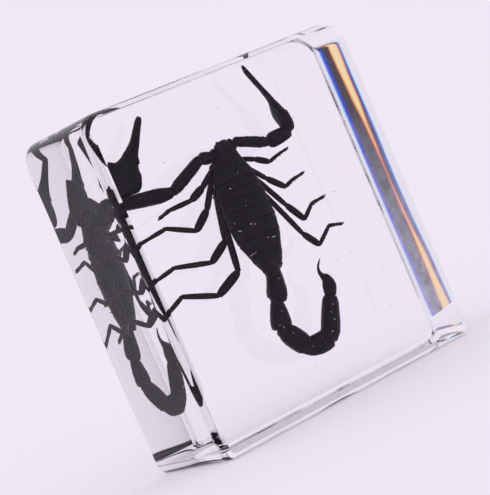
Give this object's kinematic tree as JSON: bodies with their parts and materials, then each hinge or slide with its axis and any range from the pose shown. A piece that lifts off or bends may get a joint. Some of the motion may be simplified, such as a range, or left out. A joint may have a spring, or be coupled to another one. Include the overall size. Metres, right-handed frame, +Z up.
{
  "type": "scorpion in resin block",
  "caption": "Dried dark scorpion with spread legs and curled tail, sealed in a clear, rounded rectangular resin slab that stands on its flat bottom.",
  "frame": {"origin": "middle of the block's bottom face, on the surface that it stands on", "axes": "+Z up along the block's height; X along its width, with +X to the right as seen from the front; the front face, which the scorpion's back faces, looks towards -Y, and +Y runs through the block's thickness to its back face"},
  "size_m": [0.071, 0.0282, 0.075],
  "materials": {
    "resin": "clear cast resin, ground and polished",
    "chitin": "dark dried chitin under resin, satin"
  },
  "bodies": {
    "root": {"resin_front_half": "resin", "resin_back_half": "resin", "scorpion": "chitin"}
  },
  "joints": []
}
